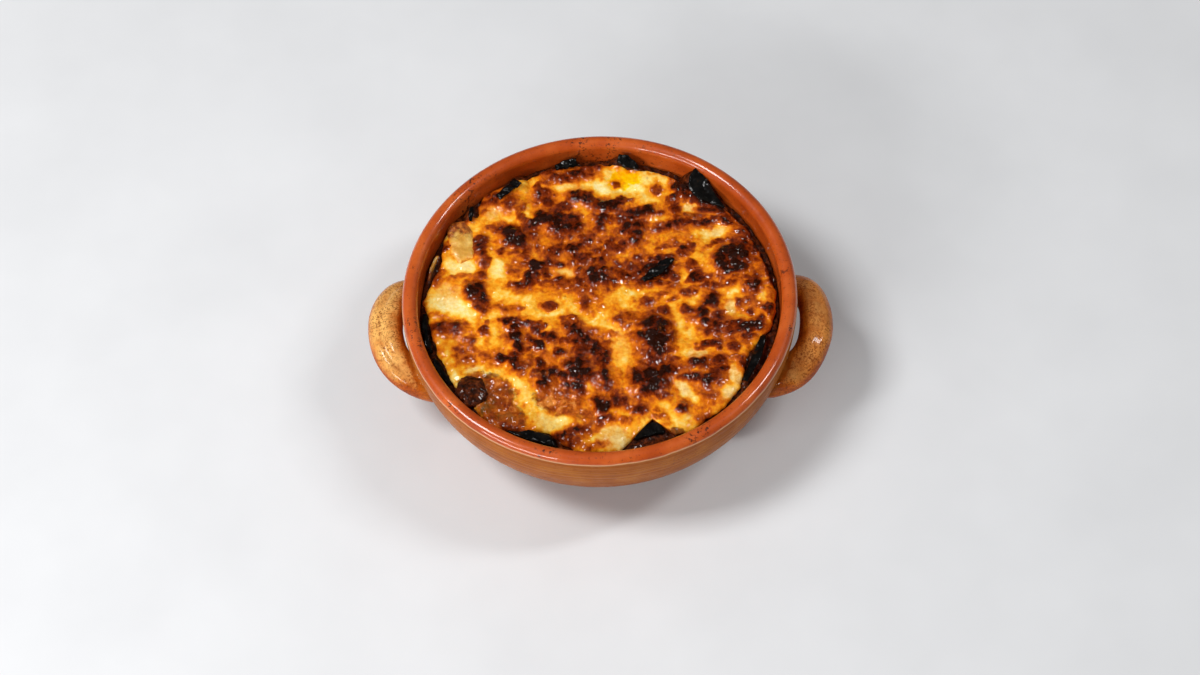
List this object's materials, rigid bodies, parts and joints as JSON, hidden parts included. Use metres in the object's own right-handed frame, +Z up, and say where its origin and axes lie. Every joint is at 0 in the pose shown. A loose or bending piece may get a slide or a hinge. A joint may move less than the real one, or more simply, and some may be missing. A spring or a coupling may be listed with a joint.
{
  "type": "baked lasagna in a clay dish",
  "caption": "Baked lasagna with blistered browned cheese, meat sauce and dark aubergine skins in a round clay dish with ear-shaped side handles.",
  "frame": {"origin": "middle of the dish's flat foot, on the surface it stands on", "axes": "+Z up out of the dish; the handles lie along X; -Y is the side nearest the viewer in the picture"},
  "size_m": [0.1791, 0.151, 0.05],
  "materials": {
    "glazed_clay": "clear glaze over red and tan clay",
    "baked_cheese": "oily browned cheese with charred blisters",
    "meat_sauce": "oily minced meat in tomato sauce",
    "aubergine_skin": "wet black skin",
    "aubergine_flesh": "soft wet flesh"
  },
  "bodies": {
    "root": {"dish": "glazed_clay", "filling": "meat_sauce", "cheese_top": "baked_cheese", "skin_top_left": "aubergine_skin", "skin_small_left": "aubergine_skin", "skin_top": "aubergine_skin", "skin_top_small": "aubergine_skin", "skin_corner": "aubergine_skin", "skin_right": "aubergine_skin", "skin_notch": "aubergine_skin", "skin_bottom_left": "aubergine_skin", "skin_left_upper": "aubergine_skin", "skin_left_lower": "aubergine_skin", "skin_centre": "aubergine_skin", "aubergine_slice": "aubergine_flesh", "slice_edge": "aubergine_flesh", "meat_lump": "meat_sauce"}
  },
  "joints": []
}
